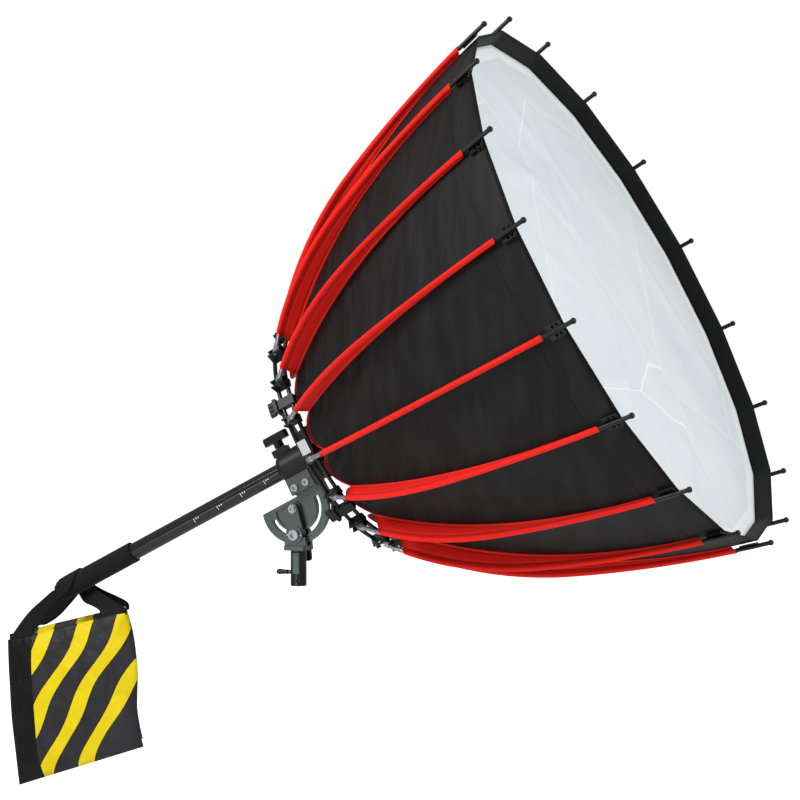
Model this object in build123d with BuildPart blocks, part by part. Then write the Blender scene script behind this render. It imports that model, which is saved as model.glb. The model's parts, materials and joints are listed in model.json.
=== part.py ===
"""Eighteen-rib parabolic studio softbox on a focus tube, with its stand bracket and counterweight bag.

Units are millimetres and degrees. The origin is the centre of the stand receiver's mouth, +Z is up and
+X is the level direction towards the softbox's front. The boom axis rises towards +X in the XZ plane.
"""

from build123d import *

import os
from math import cos, degrees, radians, sin, tan

os.makedirs("parts", exist_ok=True)

# ---- driving dimensions -------------------------------------------------------------------------
BOOM_RISE = 27.4  # elevation of the boom axis
PIVOT_X, PIVOT_Z = -4.0, 125.0  # tilt pivot above the receiver's mouth
CLAMP_X, CLAMP_Z = 0.0, 83.2  # clamp bolt in the arc slot
RING_AHEAD, RING_ABOVE = 134.0, 65.0  # ring centre from the pivot, along and square to the boom

RIBS = 18
RIB_STEP = 360 / RIBS
HINGE_RADIUS = 198.0  # circle of the rib hinge pins
RIB_ANGLES = (47.0, 22.0, 12.5)  # rib's angle off the axis at the hinge, the change of bend and the tip
TIP_RADIUS, TIP_DEPTH = 455.0, 544.5  # centre of a tip's ball

HOOP_RADIUS, HOOP_WIRE, HOOP_SPACING = 187.0, 3.4, 8.5
TUBE_RADIUS, TUBE_BORE = 14.0, 12.0
TUBE_REAR, TUBE_FRONT = -584.0, 96.0
GRIP_REAR, GRIP_FRONT, GRIP_RADIUS = -580.0, -430.0, 17.5
COLLAR_REAR, COLLAR_FRONT, COLLAR_RADIUS = -128.0, -62.0, 26.0

SHELL_REAR = (194.0, 33.0)  # radius and depth of the shell's rear edge under a rib
RIM = (443.0, 526.0)  # the same for its front edge
SHELL_ANGLES = (42.0, 22.0, 12.0)
SHELL_THICK = 1.4
HEM_WIDE = 27.0

RECEIVER_RADIUS, RECEIVER_BORE, RECEIVER_TOP = 13.0, 8.1, 58.0
GAP = 0.05  # running clearance of pins and shafts

# ---- frames -------------------------------------------------------------------------------------
AXIS = Vector(cos(radians(BOOM_RISE)), 0, sin(radians(BOOM_RISE)))
ABOVE = Vector(-sin(radians(BOOM_RISE)), 0, cos(radians(BOOM_RISE)))
PIVOT = Vector(PIVOT_X, 0, PIVOT_Z)
RING = PIVOT + AXIS * RING_AHEAD + ABOVE * RING_ABOVE
HEAD = Plane(origin=RING, x_dir=ABOVE, z_dir=AXIS)  # local x is above, local z is depth along the boom
SIDE = Plane(origin=RING, x_dir=AXIS, z_dir=(0, -1, 0))  # local x is depth, local y is above
FRONT_SIDE = Plane(origin=(0, 0, 0), x_dir=(1, 0, 0), z_dir=(0, -1, 0))  # local x is X, local y is Z


def radial_plane(angle):
    """Plane through the boom axis: local x points out at angle from above, local y is depth."""
    outward = ABOVE * cos(radians(angle)) + Vector(0, -1, 0) * sin(radians(angle))
    return Plane(origin=RING, x_dir=outward, z_dir=outward.cross(AXIS))


def across(angle):
    """Frame on the boom axis at the ring: local x out at angle, local z along the boom."""
    outward = ABOVE * cos(radians(angle)) + Vector(0, -1, 0) * sin(radians(angle))
    return Plane(origin=RING, x_dir=outward, z_dir=AXIS)


def around(piece, angles):
    """Copies of a piece modelled on the boom axis, turned to each angle."""
    return Compound(children=[across(angle).location * piece for angle in angles])


def save(part, name):
    part.label = name
    export_step(part, f"parts/{name}.step")


def arc_radii(start, end, angles):
    """Radii of two tangent arcs from start to end, with their angles off the axis at the three joints."""
    first, middle, last = (radians(angle) for angle in angles)
    a1, b1 = cos(middle) - cos(first), sin(first) - sin(middle)
    a2, b2 = cos(last) - cos(middle), sin(middle) - sin(last)
    out, along = end[0] - start[0], end[1] - start[1]
    det = a1 * b2 - a2 * b1
    return (out * b2 - a2 * along) / det, (a1 * along - b1 * out) / det


def heading(angle):
    """Unit direction in a radial plane, at an angle off the boom axis."""
    return (sin(radians(angle)), cos(radians(angle)))


# ---- stand bracket ------------------------------------------------------------------------------
CHEEK_IN, CHEEK_OUT, BOSS_OUT = 6.5, 16.0, 19.0
YOKE_HALF = 18.0
LOCK_Z = 22.0

with BuildPart() as stand_receiver:
    with BuildSketch(Plane.XY):
        Circle(RECEIVER_RADIUS)
    extrude(amount=RECEIVER_TOP)
    chamfer(stand_receiver.edges().sort_by(Axis.Z)[0], 0.8)
    with BuildSketch(Plane.XY):
        Circle(RECEIVER_BORE)
    extrude(amount=48, mode=Mode.SUBTRACT)
    with BuildSketch(Plane.YZ.offset(-RECEIVER_RADIUS)):
        with Locations((0, LOCK_Z)):
            Circle(3.0 + GAP)
    extrude(amount=RECEIVER_RADIUS, mode=Mode.SUBTRACT)
    with BuildSketch(FRONT_SIDE.offset(RECEIVER_RADIUS - 1.2)):
        with Locations((0, 37)):
            Rectangle(14, 34)
    extrude(amount=3, mode=Mode.SUBTRACT)
    with BuildSketch(FRONT_SIDE.offset(RECEIVER_BORE + 1.5)):
        with Locations((3.5, 9)):
            Circle(2.4)
    extrude(amount=6, mode=Mode.SUBTRACT)
save(stand_receiver.part, "stand_receiver")

with BuildPart() as yoke:
    with BuildSketch(Plane.XY.offset(RECEIVER_TOP)):
        RectangleRounded(2 * YOKE_HALF, 40, 2.5)
    extrude(amount=7.5)
    for side in (1, -1):
        with BuildSketch(FRONT_SIDE.offset(side * CHEEK_IN)):
            with Locations((CLAMP_X, CLAMP_Z)):
                Circle(15.5)
            with Locations((PIVOT_X, PIVOT_Z)):
                Circle(8.5)
            make_hull()
            with Locations((0, RECEIVER_TOP + 11)):
                Rectangle(2 * YOKE_HALF, 22)
        extrude(amount=side * (CHEEK_OUT - CHEEK_IN))
        with BuildSketch(FRONT_SIDE.offset(side * CHEEK_OUT)):
            with Locations((CLAMP_X, CLAMP_Z)):
                Circle(14.5)
        extrude(amount=side * (BOSS_OUT - CHEEK_OUT))
    with BuildSketch(FRONT_SIDE.offset(-30)):
        with Locations((PIVOT_X, PIVOT_Z)):
            Circle(4.0)
        with Locations((CLAMP_X, CLAMP_Z)):
            Circle(4.0 + GAP)
    extrude(amount=60, mode=Mode.SUBTRACT)
save(yoke.part, "yoke")

with BuildPart() as pivot_bolt:
    with BuildSketch(FRONT_SIDE.offset(-CHEEK_OUT)):
        with Locations((PIVOT_X, PIVOT_Z)):
            Circle(4.0)
    extrude(amount=2 * CHEEK_OUT)
    for side, head in ((1, 3.8), (-1, 4.6)):
        with BuildSketch(FRONT_SIDE.offset(side * CHEEK_OUT)):
            with Locations((PIVOT_X, PIVOT_Z)):
                Circle(7.2)
        extrude(amount=side * 1.4)
        with BuildSketch(FRONT_SIDE.offset(side * (CHEEK_OUT + 1.4))):
            with Locations((PIVOT_X, PIVOT_Z)):
                RegularPolygon(5.6, 6) if side < 0 else Circle(5.2)
        extrude(amount=side * head)
    with BuildSketch(FRONT_SIDE.offset(CHEEK_OUT + 3.0)):
        with Locations((PIVOT_X, PIVOT_Z)):
            RegularPolygon(2.6, 6)
    extrude(amount=4, mode=Mode.SUBTRACT)
save(pivot_bolt.part, "pivot_bolt")

with BuildPart() as clamp_bolt:
    with BuildSketch(FRONT_SIDE.offset(-BOSS_OUT - 12)):
        with Locations((CLAMP_X, CLAMP_Z)):
            Circle(4.0)
    extrude(amount=2 * BOSS_OUT + 12)
    with BuildSketch(FRONT_SIDE.offset(BOSS_OUT)):
        with Locations((CLAMP_X, CLAMP_Z)):
            Circle(8.4)
    extrude(amount=4.5)
    with BuildSketch(FRONT_SIDE.offset(BOSS_OUT + 0.8)):
        with Locations((CLAMP_X, CLAMP_Z)):
            RegularPolygon(5.6, 6)
    extrude(amount=5, mode=Mode.SUBTRACT)
save(clamp_bolt.part, "clamp_bolt")

with BuildPart() as boss_pins:
    with BuildSketch(FRONT_SIDE.offset(BOSS_OUT)):
        with Locations((CLAMP_X - 11.6, CLAMP_Z), (CLAMP_X + 11.6, CLAMP_Z)):
            Circle(1.6)
    extrude(amount=1.2)
save(boss_pins.part, "boss_pins")

with BuildPart() as tilt_lever:
    with BuildSketch(FRONT_SIDE.offset(-BOSS_OUT)):
        with Locations((CLAMP_X, CLAMP_Z)):
            Circle(10.0)
    extrude(amount=-13)
    with BuildSketch(FRONT_SIDE.offset(-BOSS_OUT - 5)):
        with Locations((CLAMP_X, CLAMP_Z)):
            Circle(7.0)
        with Locations((CLAMP_X + 6, CLAMP_Z - 40)):
            Circle(5.0)
        make_hull()
    extrude(amount=-7)
    fillet(tilt_lever.edges().group_by(Axis.Y)[-1], 0.8)
    with BuildSketch(FRONT_SIDE.offset(-BOSS_OUT)):
        with Locations((CLAMP_X, CLAMP_Z)):
            Circle(4.0 + GAP)
    extrude(amount=-12, mode=Mode.SUBTRACT)
save(tilt_lever.part, "tilt_lever")

with BuildPart() as receiver_lock_screw:
    with BuildSketch(Plane.XZ):
        with BuildLine():
            Polyline(
                (-8.4, LOCK_Z), (-8.4, LOCK_Z + 3), (-17, LOCK_Z + 3), (-19, LOCK_Z + 4.2),
                (-21, LOCK_Z + 3.4), (-34, LOCK_Z + 4.6), (-37.5, LOCK_Z + 3.2), (-37.5, LOCK_Z),
                close=True,
            )
        make_face()
    revolve(axis=Axis((0, 0, LOCK_Z), (1, 0, 0)))
save(receiver_lock_screw.part, "receiver_lock_screw")

# ---- tilt quadrant and collar -------------------------------------------------------------------
PIVOT_AT = (-RING_AHEAD, -RING_ABOVE)  # pivot in SIDE coordinates
QUADRANT_RADIUS, SLOT_RADIUS, SLOT_HALF = 57.5, 42.0, 4.2
SLOT_FROM, SLOT_TO = 184.5, 360.0
QUADRANT_TOP, BLOCK_BOTTOM = 16.0, 18.5
BLOCK_REAR, BLOCK_AHEAD, BLOCK_HALF = -124.0, -80.0, 18.0
BOLTS_AT = ((-114.0, -37.0), (-92.0, -37.0))


with BuildPart() as tilt_quadrant:
    with BuildSketch(SIDE.offset(-6)):
        with Locations(PIVOT_AT):
            Circle(QUADRANT_RADIUS)
        with Locations((PIVOT_AT[0], PIVOT_AT[1] + QUADRANT_TOP + 50)):
            Rectangle(200, 100, mode=Mode.SUBTRACT)
        with Locations(((BLOCK_REAR + BLOCK_AHEAD) / 2, PIVOT_AT[1] + QUADRANT_TOP + 2.5)):
            Rectangle(BLOCK_AHEAD - BLOCK_REAR - 4, 29)
    extrude(amount=12)
    with BuildSketch(SIDE.offset(-7)):
        with BuildLine():
            arc = CenterArc(PIVOT_AT, SLOT_RADIUS, SLOT_FROM, SLOT_TO - SLOT_FROM)
        trace(arc, line_width=2 * SLOT_HALF)
        with Locations(arc @ 0, arc @ 1):
            Circle(SLOT_HALF)
        with Locations(PIVOT_AT):
            Circle(4.0 + GAP)
        with Locations(*BOLTS_AT):
            Circle(3.0 + GAP)
    extrude(amount=14, mode=Mode.SUBTRACT)
    for side in (1, -1):
        with BuildSketch(SIDE.offset(side * 3.4)):
            with Locations(PIVOT_AT):
                Circle(SLOT_RADIUS - 8)
            with Locations((PIVOT_AT[0], PIVOT_AT[1] + 9.5 + 50)):
                Rectangle(200, 100, mode=Mode.SUBTRACT)
            with Locations(PIVOT_AT):
                Circle(11.5, mode=Mode.SUBTRACT)
        extrude(amount=side * 4, mode=Mode.SUBTRACT)
save(tilt_quadrant.part, "tilt_quadrant")

with BuildPart() as collar_bracket:
    with BuildSketch(SIDE.offset(-BLOCK_HALF)):
        block_low = PIVOT_AT[1] + BLOCK_BOTTOM
        with Locations(((BLOCK_REAR + BLOCK_AHEAD) / 2, (block_low - 14) / 2)):
            Rectangle(BLOCK_AHEAD - BLOCK_REAR, -14 - block_low)
    extrude(amount=2 * BLOCK_HALF)
    with BuildSketch(HEAD.offset(BLOCK_REAR - 5)):
        Circle(COLLAR_RADIUS)
    extrude(amount=60, mode=Mode.SUBTRACT)
    with BuildSketch(SIDE.offset(-6.1)):
        with Locations(((BLOCK_REAR + BLOCK_AHEAD) / 2, PIVOT_AT[1] + QUADRANT_TOP + 2.5)):
            Rectangle(80, 29.2)
    extrude(amount=12.2, mode=Mode.SUBTRACT)
    with BuildSketch(SIDE.offset(-30)):
        with Locations(*BOLTS_AT):
            Circle(3.0 + GAP)
    extrude(amount=60, mode=Mode.SUBTRACT)
save(collar_bracket.part, "collar_bracket")

with BuildPart() as bracket_bolts:
    with BuildSketch(SIDE.offset(-BLOCK_HALF)):
        with Locations(*BOLTS_AT):
            Circle(3.0)
    extrude(amount=2 * BLOCK_HALF)
    with BuildSketch(SIDE.offset(BLOCK_HALF)):
        with Locations(*BOLTS_AT):
            Circle(6.0)
    extrude(amount=3.5)
    with BuildSketch(SIDE.offset(BLOCK_HALF + 0.6)):
        with Locations(*BOLTS_AT):
            RegularPolygon(3.0, 6)
    extrude(amount=4, mode=Mode.SUBTRACT)
    with BuildSketch(SIDE.offset(-BLOCK_HALF)):
        with Locations(*BOLTS_AT):
            RegularPolygon(5.5, 6)
    extrude(amount=-5)
save(bracket_bolts.part, "bracket_bolts")

BUSH_BORE = TUBE_RADIUS + 0.06
BUSH_OUT = 16.2
BUSH_LONG = 14.0

with BuildPart() as collar:
    with BuildSketch(SIDE):
        with BuildLine():
            Polyline(
                (COLLAR_REAR, TUBE_RADIUS + 1.2), (COLLAR_REAR, 19), (COLLAR_REAR + 4, 23),
                (COLLAR_REAR + 10, COLLAR_RADIUS), (COLLAR_FRONT - 6, COLLAR_RADIUS),
                (COLLAR_FRONT - 6, 44), (COLLAR_FRONT, 44), (COLLAR_FRONT, BUSH_OUT),
                (COLLAR_FRONT - BUSH_LONG, BUSH_OUT), (COLLAR_FRONT - BUSH_LONG, TUBE_RADIUS + 1.2),
                (COLLAR_REAR + BUSH_LONG + 2, TUBE_RADIUS + 1.2), (COLLAR_REAR + BUSH_LONG + 2, BUSH_OUT),
                (COLLAR_REAR + 2, BUSH_OUT), (COLLAR_REAR + 2, TUBE_RADIUS + 1.2),
                close=True,
            )
        make_face()
    revolve(axis=Axis(RING, AXIS))
    with BuildSketch(HEAD.offset(COLLAR_REAR)):
        with Locations((COLLAR_RADIUS + 2, 0)):
            Rectangle(12, 18)
    extrude(amount=26, mode=Mode.ADD)
    with BuildSketch(HEAD.offset(COLLAR_REAR - 1)):
        Circle(TUBE_RADIUS + 1.2)
    extrude(amount=40, mode=Mode.SUBTRACT)
    with BuildSketch(Plane(origin=RING + AXIS * (COLLAR_REAR + 14), x_dir=AXIS, z_dir=ABOVE)):
        Circle(4.0 + GAP)
    extrude(amount=60, mode=Mode.SUBTRACT)
save(collar.part, "collar")

with BuildPart() as collar_bushes:
    for start in (COLLAR_REAR + 2, COLLAR_FRONT - BUSH_LONG):
        with BuildSketch(HEAD.offset(start)):
            Circle(BUSH_OUT)
            Circle(BUSH_BORE, mode=Mode.SUBTRACT)
        extrude(amount=BUSH_LONG)
    with BuildSketch(Plane(origin=RING + AXIS * (COLLAR_REAR + 14), x_dir=AXIS, z_dir=ABOVE)):
        Circle(4.0 + GAP)
    extrude(amount=30, mode=Mode.SUBTRACT)
save(collar_bushes.part, "collar_bushes")

KNOB_BASE = RING + AXIS * (COLLAR_REAR + 14)

with BuildPart() as collar_lock_knob:
    with BuildSketch(Plane(origin=KNOB_BASE + ABOVE * (TUBE_RADIUS + 0.3), x_dir=AXIS, z_dir=ABOVE)):
        Circle(4.0)
    extrude(amount=26)
    with BuildSketch(Plane(origin=KNOB_BASE + ABOVE * 36, x_dir=AXIS, z_dir=ABOVE)):
        Circle(8.0)
    extrude(amount=10)
    with BuildSketch(Plane(origin=KNOB_BASE + ABOVE * 46, x_dir=AXIS, z_dir=ABOVE)):
        SlotOverall(46, 13)
    extrude(amount=13)
    chamfer(collar_lock_knob.faces().sort_by(Axis(RING, ABOVE))[-1].edges(), 1.5)
save(collar_lock_knob.part, "collar_lock_knob")

# ---- spider, hoops and hinge blocks -------------------------------------------------------------
ARM_ANGLES = (70.0, 130.0, 250.0, 310.0)

with BuildPart() as spider:
    with BuildSketch(HEAD.offset(COLLAR_FRONT)):
        Circle(46)
        Circle(TUBE_RADIUS + 4, mode=Mode.SUBTRACT)
    extrude(amount=6)
    for angle in ARM_ANGLES:
        with BuildSketch(radial_plane(angle).offset(-11)):
            with BuildLine():
                Polyline(
                    (36, COLLAR_FRONT), (52, COLLAR_FRONT), (176, -20), (197, -20),
                    (197, -14.5), (175, -14.5), (50, COLLAR_FRONT + 6), (36, COLLAR_FRONT + 6),
                    close=True,
                )
            make_face()
        extrude(amount=22)
    for angle in ARM_ANGLES:
        with BuildSketch(across(angle).offset(-30)):
            with Locations((HOOP_RADIUS, 0)):
                Circle(3.0 + GAP)
        extrude(amount=20, mode=Mode.SUBTRACT)
save(spider.part, "spider")

with BuildPart() as spider_bolts:
    with BuildSketch(HEAD.offset(COLLAR_FRONT + 6)):
        with PolarLocations(34, 4, 45):
            Circle(3.6)
    extrude(amount=3)
save(spider_bolts.part, "spider_bolts")

for name, depth in (("rear_hoop", -HOOP_SPACING), ("front_hoop", HOOP_SPACING)):
    with BuildPart() as hoop:
        with BuildSketch(radial_plane(0)):
            with Locations((HOOP_RADIUS, depth)):
                Circle(HOOP_WIRE)
        revolve(axis=Axis(RING, AXIS))
    save(hoop.part, name)

BLOCK_IN, BLOCK_OUT, BLOCK_WIDE, BLOCK_DEEP = 182.0, 201.2, 13.0, 25.6
TONGUE = 8.0
PIN_RADIUS = 2.0

with BuildPart() as hinge_block:
    with BuildSketch(Plane.XY.offset(-BLOCK_DEEP / 2)):
        with Locations(((BLOCK_IN + BLOCK_OUT) / 2, 0)):
            Rectangle(BLOCK_OUT - BLOCK_IN, BLOCK_WIDE)
    extrude(amount=BLOCK_DEEP)
    with BuildSketch(Plane.XY.offset(-BLOCK_DEEP)):
        with Locations((BLOCK_OUT, 0)):
            Rectangle(2 * (BLOCK_OUT - 192.4), TONGUE + 0.4)
    extrude(amount=2 * BLOCK_DEEP, mode=Mode.SUBTRACT)
    with BuildSketch(Plane.XZ.offset(-20)):
        with Locations((HINGE_RADIUS, 0)):
            Circle(PIN_RADIUS)
    extrude(amount=40, mode=Mode.SUBTRACT)
    for depth in (-HOOP_SPACING, HOOP_SPACING):
        with BuildSketch(Plane.XZ):
            with Locations((HOOP_RADIUS, depth)):
                Circle(HOOP_WIRE + 0.08)
        revolve(axis=Axis.Z, mode=Mode.SUBTRACT)
save(around(hinge_block.part, [i * RIB_STEP for i in range(RIBS)]), "hinge_blocks")

with BuildPart() as hinge_pin:
    with BuildSketch(Plane.XZ.offset(-BLOCK_WIDE / 2 - 0.6)):
        with Locations((HINGE_RADIUS, 0)):
            Circle(PIN_RADIUS)
    extrude(amount=BLOCK_WIDE + 1.2)
save(around(hinge_pin.part, [i * RIB_STEP for i in range(RIBS)]), "hinge_pins")

with BuildPart() as hoop_splice:
    with BuildSketch(across(94).offset(-7.5)):
        with Locations((HOOP_RADIUS + HOOP_WIRE + 1.4, 0)):
            Rectangle(2.4, 23)
    extrude(amount=15)
save(hoop_splice.part, "hoop_splice")

for number, angle in enumerate(ARM_ANGLES, 1):
    with BuildPart() as wing_screw:
        with BuildSketch(across(angle).offset(-20.0)):
            with Locations((HOOP_RADIUS, 0)):
                Circle(5.5)
        extrude(amount=-5)
        with BuildSketch(across(angle).offset(-20.0)):
            with Locations((HOOP_RADIUS, 0)):
                Circle(3.0)
        extrude(amount=7.6)
        with BuildSketch(across(angle).offset(-22.5)):
            with Locations((HOOP_RADIUS, 0)):
                Ellipse(4.5, 5.5)
            with Locations((HOOP_RADIUS, 7.5), (HOOP_RADIUS, -7.5)):
                Ellipse(3.8, 5.2)
        extrude(amount=-9)
    save(wing_screw.part, f"wing_screw_{number}")

ARM_BLOCK_DEEP = 28.8

with BuildPart() as arm_block:
    with BuildSketch(Plane.XY.offset(-ARM_BLOCK_DEEP / 2)):
        with Locations((HOOP_RADIUS, 0)):
            Rectangle(11, 16)
    extrude(amount=ARM_BLOCK_DEEP)
    for depth in (-HOOP_SPACING, HOOP_SPACING):
        with BuildSketch(Plane.XZ):
            with Locations((HOOP_RADIUS, depth)):
                Circle(HOOP_WIRE + 0.08)
        revolve(axis=Axis.Z, mode=Mode.SUBTRACT)
    with BuildSketch(Plane.XY.offset(-ARM_BLOCK_DEEP / 2)):
        with Locations((HOOP_RADIUS, 0)):
            Circle(3.0 + GAP)
    extrude(amount=2.2, mode=Mode.SUBTRACT)
save(around(arm_block.part, ARM_ANGLES), "arm_blocks")

# ---- ribs ---------------------------------------------------------------------------------------
FERRULE_LONG, CAP_LONG = 56.0, 56.0
ROD_RADIUS, FERRULE_RADIUS, CAP_RADIUS, BALL_RADIUS = 2.4, 3.6, 3.4, 4.6
RIB_START = (HINGE_RADIUS, 0.0)
REAR_BEND, FRONT_BEND = arc_radii(RIB_START, (TIP_RADIUS, TIP_DEPTH), RIB_ANGLES)
FERRULE_TURN = degrees(FERRULE_LONG / REAR_BEND)
CAP_TURN = degrees(CAP_LONG / FRONT_BEND)
REAR_TURN = RIB_ANGLES[0] - RIB_ANGLES[1]
FRONT_TURN = RIB_ANGLES[1] - RIB_ANGLES[2]

with BuildPart() as ferrule:
    with BuildLine(Plane.XZ):
        ferrule_arc = JernArc(RIB_START, heading(RIB_ANGLES[0]), REAR_BEND, FERRULE_TURN)
    with BuildSketch(Plane(origin=ferrule_arc @ 0, z_dir=ferrule_arc % 0)):
        Circle(FERRULE_RADIUS)
    sweep(path=ferrule_arc)
    with BuildSketch(Plane.XZ.offset(-TONGUE / 2)):
        with Locations(RIB_START):
            Circle(4.6)
        with Locations((HINGE_RADIUS + 12 * heading(RIB_ANGLES[0])[0], 12 * heading(RIB_ANGLES[0])[1])):
            Circle(3.9)
        make_hull()
    extrude(amount=TONGUE)
    with BuildSketch(Plane.XZ.offset(-TONGUE)):
        with Locations(RIB_START):
            Circle(PIN_RADIUS + GAP)
    extrude(amount=2 * TONGUE, mode=Mode.SUBTRACT)

with BuildPart() as rod:
    with BuildLine(Plane.XZ):
        rear_arc = JernArc(ferrule_arc @ 1, ferrule_arc % 1, REAR_BEND, REAR_TURN - FERRULE_TURN)
        front_arc = JernArc(rear_arc @ 1, rear_arc % 1, FRONT_BEND, FRONT_TURN - CAP_TURN)
    with BuildSketch(Plane(origin=rear_arc @ 0, z_dir=rear_arc % 0)):
        Circle(ROD_RADIUS)
    sweep(path=Wire([rear_arc, front_arc]))

with BuildPart() as tip_cap:
    with BuildLine(Plane.XZ):
        cap_arc = JernArc(front_arc @ 1, front_arc % 1, FRONT_BEND, CAP_TURN)
    with BuildSketch(Plane(origin=cap_arc @ 0, z_dir=cap_arc % 0)):
        Circle(CAP_RADIUS)
    sweep(path=cap_arc)
    with Locations(cap_arc @ 1):
        Sphere(BALL_RADIUS)

CLIP_LONG, CLIP_WIDE, CLIP_THICK = 26.0, 23.0, 2.2
clip_tangent = cap_arc % 0.3
clip_inward = Vector(-clip_tangent.Z, 0, clip_tangent.X)
clip_seat = (cap_arc @ 0.3) + clip_inward * (CAP_RADIUS + 0.02)

with BuildPart() as tip_clip:
    with BuildSketch(Plane(origin=clip_seat, x_dir=clip_tangent, z_dir=clip_inward)):
        with Locations((-CLIP_LONG / 2 + 18, 0)):
            RectangleRounded(CLIP_LONG, CLIP_WIDE, 2.0)
        with Locations((4, 7), (4, -7), (12, 7), (12, -7)):
            Rectangle(4.4, 4.6, mode=Mode.SUBTRACT)
    extrude(amount=CLIP_THICK)

for number in range(1, RIBS + 1):
    place = across((number - 1) * RIB_STEP).location
    pieces = [place * piece.part for piece in (ferrule, rod, tip_cap, tip_clip)]
    save(Compound(children=pieces), f"rib_{number:02d}")

# ---- shell, hem, diffuser and sleeves -----------------------------------------------------------
HALF_STEP = radians(RIB_STEP / 2)
MID_REAR = (SHELL_REAR[0] * cos(HALF_STEP), SHELL_REAR[1])
MID_RIM = (RIM[0] * cos(HALF_STEP), RIM[1])
WEDGE_REACH = 620.0
WEDGE = [(0, 0), (WEDGE_REACH, -WEDGE_REACH * tan(HALF_STEP)), (WEDGE_REACH, WEDGE_REACH * tan(HALF_STEP))]
PANEL_ANGLES = [(i + 0.5) * RIB_STEP for i in range(RIBS)]
RIB_PLACES = [i * RIB_STEP for i in range(RIBS)]

with BuildPart() as gore:
    with BuildSketch(Plane.XZ):
        rear_bend, front_bend = arc_radii(MID_REAR, MID_RIM, SHELL_ANGLES)
        with BuildLine():
            rear_part = JernArc(
                MID_REAR, heading(SHELL_ANGLES[0]), rear_bend, SHELL_ANGLES[0] - SHELL_ANGLES[1]
            )
            front_part = JernArc(
                rear_part @ 1, rear_part % 1, front_bend, SHELL_ANGLES[1] - SHELL_ANGLES[2]
            )
        trace(line_width=SHELL_THICK)
    extrude(amount=90, both=True)
    with BuildSketch(Plane.XY):
        Polygon(*WEDGE, align=None)
    extrude(amount=WEDGE_REACH, mode=Mode.INTERSECT)
save(around(gore.part, PANEL_ANGLES), "canopy")

rim_slope = tan(radians(SHELL_ANGLES[2]))
HEM_OUT = MID_RIM[0] - SHELL_THICK * 0.75
HEM_THICK = 1.4

with BuildPart() as hem_strip:
    with BuildSketch(Plane.XZ):
        with BuildLine():
            Polyline(
                (HEM_OUT, RIM[1]), (HEM_OUT - HEM_THICK, RIM[1]),
                (HEM_OUT - HEM_THICK - 1.6 - HEM_WIDE * rim_slope, RIM[1] - HEM_WIDE),
                (HEM_OUT - 1.6 - HEM_WIDE * rim_slope, RIM[1] - HEM_WIDE), close=True,
            )
        make_face()
    extrude(amount=90, both=True)
    with BuildSketch(Plane.XY):
        Polygon(*WEDGE, align=None)
    extrude(amount=WEDGE_REACH, mode=Mode.INTERSECT)
save(around(hem_strip.part, PANEL_ANGLES), "front_hem")

DIFFUSER_APOTHEM = HEM_OUT - HEM_THICK - 2.2 - HEM_WIDE * rim_slope

with BuildPart() as diffuser:
    with BuildSketch(HEAD.offset(RIM[1] - HEM_WIDE + 0.5)):
        RegularPolygon(DIFFUSER_APOTHEM, RIBS, major_radius=False)
    extrude(amount=1.2)
save(diffuser.part, "diffuser")

SLEEVE_THICK = 1.8
SLEEVE_FRONT = 484.0

with BuildPart() as sleeve:
    with BuildSketch(Plane.XZ.offset(-SLEEVE_THICK / 2)):
        shell_rear, shell_front = arc_radii(SHELL_REAR, RIM, SHELL_ANGLES)
        with BuildLine():
            low_rear = JernArc(
                (SHELL_REAR[0] + 1.5, SHELL_REAR[1] - 0.5), heading(SHELL_ANGLES[0]), shell_rear,
                SHELL_ANGLES[0] - SHELL_ANGLES[1],
            )
            low_front = JernArc(low_rear @ 1, low_rear % 1, shell_front, SHELL_ANGLES[1] - SHELL_ANGLES[2])
            high_start = ((ferrule_arc @ 0.75).X - 3.2, (ferrule_arc @ 0.75).Z + 3.2)
            high_rear = JernArc(
                high_start, heading(RIB_ANGLES[0] - 0.75 * FERRULE_TURN), REAR_BEND - 4.6,
                REAR_TURN - 0.75 * FERRULE_TURN,
            )
            high_front = JernArc(high_rear @ 1, high_rear % 1, FRONT_BEND, FRONT_TURN - CAP_TURN)
            Line(low_rear @ 0, high_rear @ 0)
            Line(low_front @ 1, high_front @ 1)
        make_face()
        with Locations((RIM[0], SLEEVE_FRONT + 50)):
            Rectangle(200, 100, mode=Mode.SUBTRACT)
    extrude(amount=SLEEVE_THICK)
save(around(sleeve.part, RIB_PLACES), "rib_sleeves")

# ---- focus tube, grip and lamp mount ------------------------------------------------------------
with BuildPart() as focus_tube:
    with BuildSketch(HEAD.offset(TUBE_REAR)):
        Circle(TUBE_RADIUS)
        Circle(TUBE_BORE, mode=Mode.SUBTRACT)
    extrude(amount=TUBE_FRONT - TUBE_REAR)
save(focus_tube.part, "focus_tube")

with BuildPart() as tube_plug:
    with BuildSketch(HEAD.offset(TUBE_REAR)):
        Circle(TUBE_BORE - 0.02)
    extrude(amount=14)
    with BuildSketch(HEAD.offset(TUBE_REAR)):
        Circle(TUBE_RADIUS)
    extrude(amount=-3)
    fillet(tube_plug.edges().filter_by(GeomType.CIRCLE).sort_by(Axis(RING, AXIS))[0], 1.5)
save(tube_plug.part, "tube_plug")

with BuildPart() as foam_grip:
    with BuildSketch(HEAD.offset(GRIP_REAR)):
        Circle(GRIP_RADIUS)
        Circle(TUBE_RADIUS, mode=Mode.SUBTRACT)
    extrude(amount=GRIP_FRONT - GRIP_REAR)
save(foam_grip.part, "foam_grip")

CLAMP_LONG, CLAMP_HALF = 46.0, 24.0

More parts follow.
